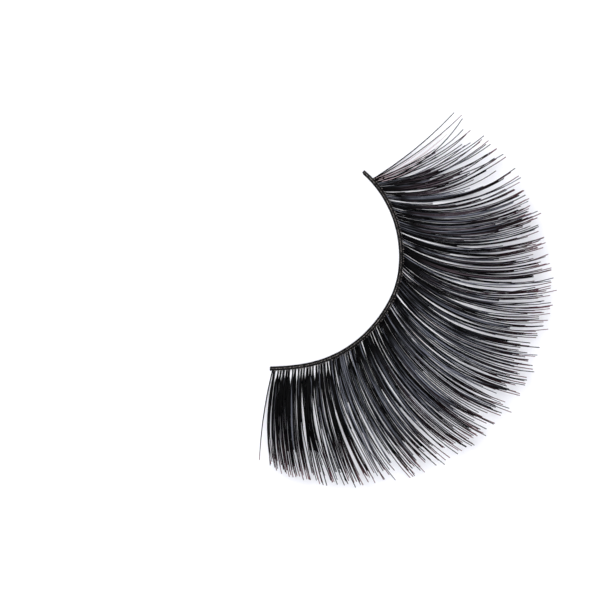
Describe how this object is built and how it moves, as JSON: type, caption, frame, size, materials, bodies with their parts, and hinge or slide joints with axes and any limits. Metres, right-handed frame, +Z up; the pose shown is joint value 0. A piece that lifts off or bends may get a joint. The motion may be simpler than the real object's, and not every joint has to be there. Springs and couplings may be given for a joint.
{
  "type": "false eyelash strip",
  "caption": "Curved strip of black false lashes for one eye: a thin flat band, a row of tying knots and a fan of curled, tapering lashes swept towards the outer corner.",
  "frame": {"origin": "on the table, below the centre of the bounding box of the strip as it lies", "axes": "+X along the band's chord from the inner corner of the eye to the outer corner, -Y the way the lashes point, +Z up, the way the lashes curl"},
  "size_m": [0.044, 0.0266, 0.0061],
  "materials": {
    "band_cotton": "fine black cotton band with a thin film of lash glue, satin",
    "tying_thread": "black thread drawn into small tight knots",
    "lash_fibre": "fine tapered black fibre with a soft silky sheen, reddish brown where the tips are thin"
  },
  "bodies": {
    "root": {"lash_band": "band_cotton", "knot_row": "tying_thread", "hair_fringe": "lash_fibre"}
  },
  "joints": []
}
